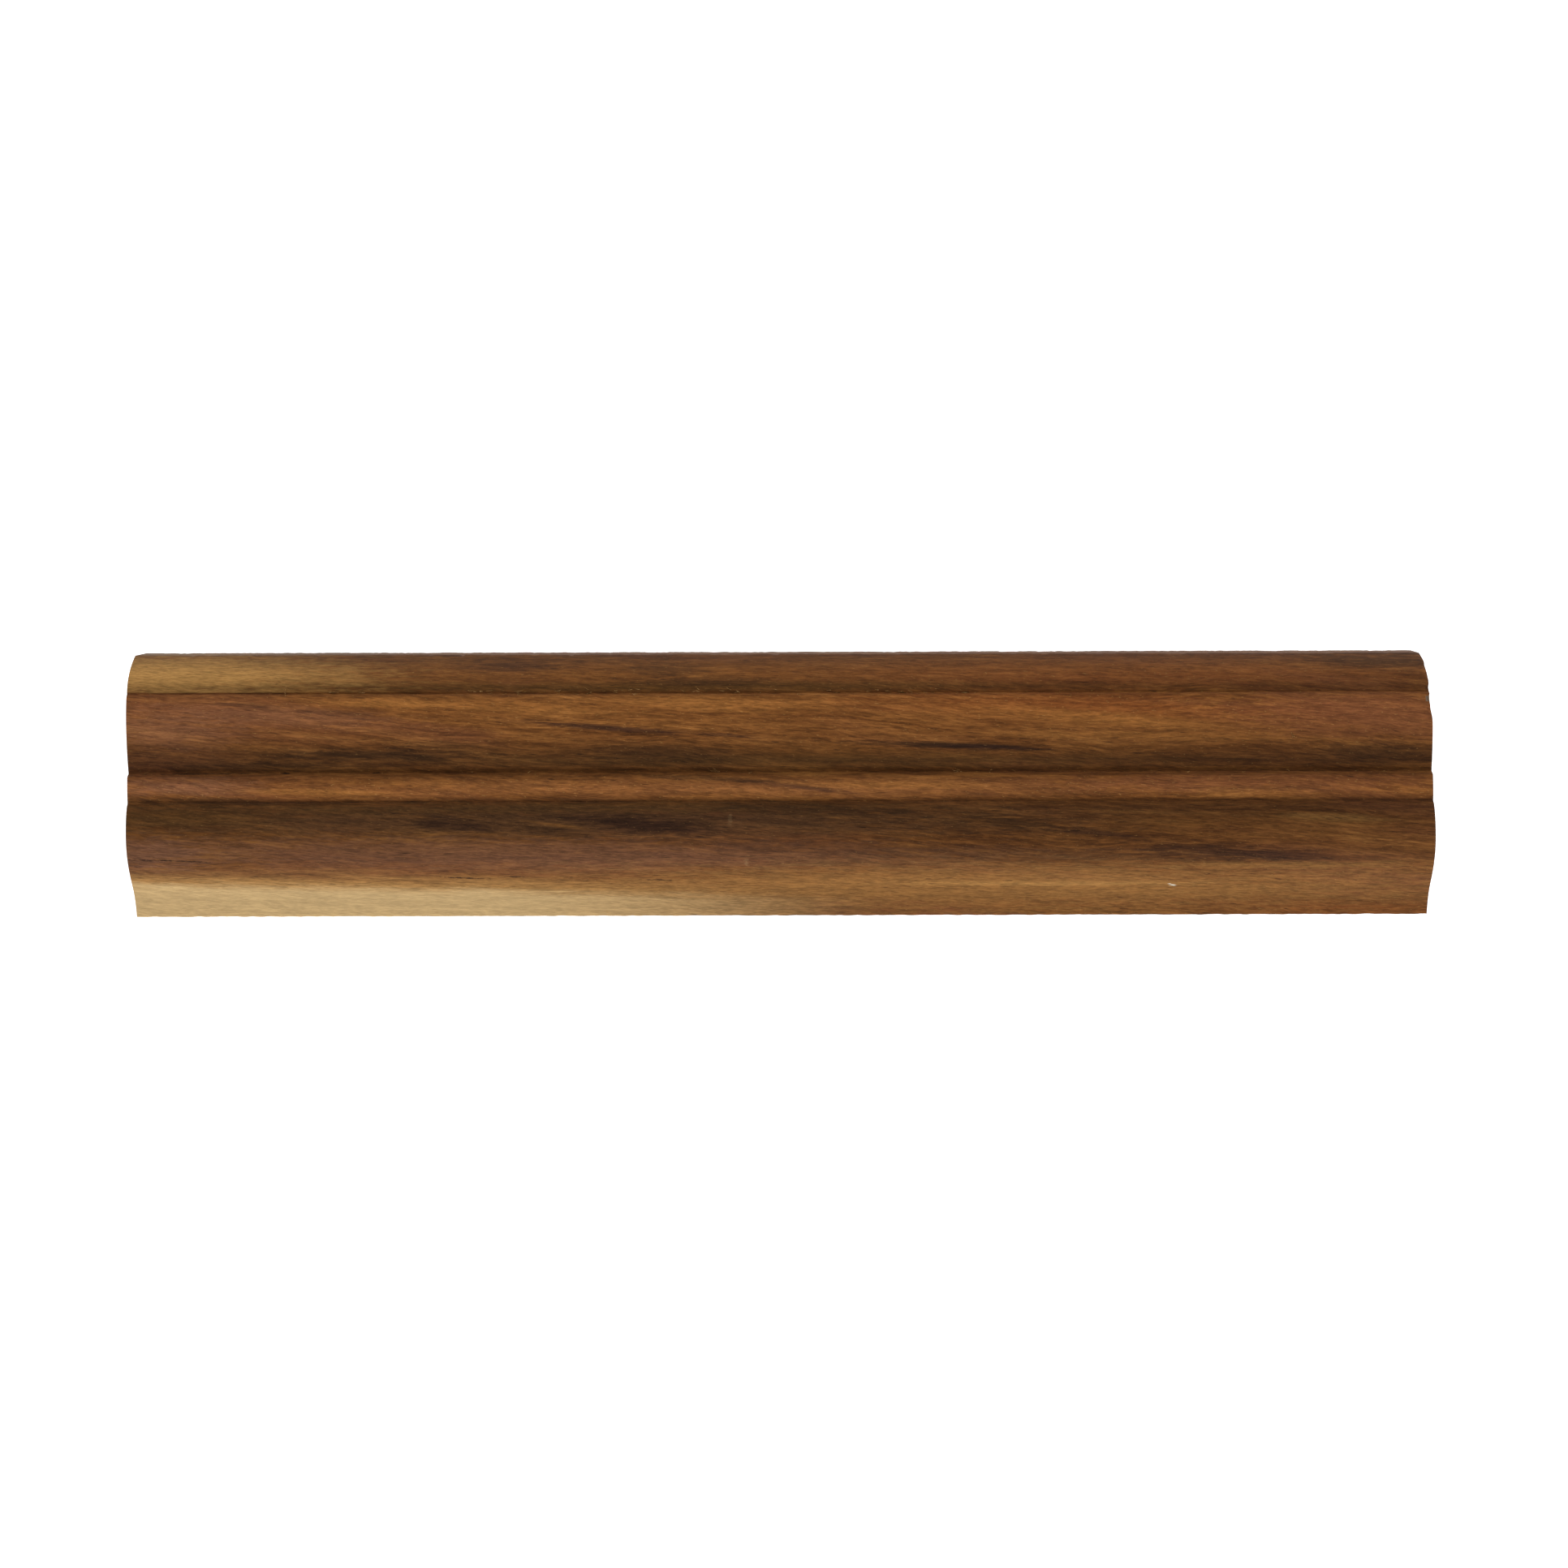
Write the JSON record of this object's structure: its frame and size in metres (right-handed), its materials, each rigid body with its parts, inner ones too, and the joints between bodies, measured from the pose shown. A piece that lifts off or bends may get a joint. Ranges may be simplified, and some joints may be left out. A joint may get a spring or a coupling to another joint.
{
  "type": "grab rail",
  "caption": "Short moulded hardwood grab rail held off a boat's deck by two hollowed timber chocks on rubber pads, blind fastened from below.",
  "frame": {"origin": "on the deck, midway between the two feet, under the middle of the rail", "axes": "+X along the rail towards the right foot, +Y towards the moulding's upper edge (the ovolo side), +Z out of the moulded face, away from the deck"},
  "size_m": [0.2506, 0.0516, 0.062],
  "materials": {
    "rail_wood": "worn satin oil, darkened in the moulding's hollows, a pale sapwood edge",
    "chock_wood": "satin oil",
    "dowel_wood": "bare beech, fluted",
    "brass": "turned, dulled",
    "stainless_steel": "turned and rolled",
    "rubber": "matt, moulded"
  },
  "bodies": {
    "root": {"rail": "rail_wood", "left_chock": "chock_wood", "left_bedding_pad": "rubber", "left_clamp_screw": "stainless_steel", "left_spring_washer": "stainless_steel", "left_clamp_washer": "stainless_steel", "left_rail_insert": "brass", "left_inner_dowel": "dowel_wood", "left_inner_foot_insert": "brass", "left_outer_dowel": "dowel_wood", "left_outer_foot_insert": "brass", "right_chock": "chock_wood", "right_bedding_pad": "rubber", "right_clamp_screw": "stainless_steel", "right_spring_washer": "stainless_steel", "right_clamp_washer": "stainless_steel", "right_rail_insert": "brass", "right_inner_dowel": "dowel_wood", "right_inner_foot_insert": "brass", "right_outer_dowel": "dowel_wood", "right_outer_foot_insert": "brass"}
  },
  "joints": []
}
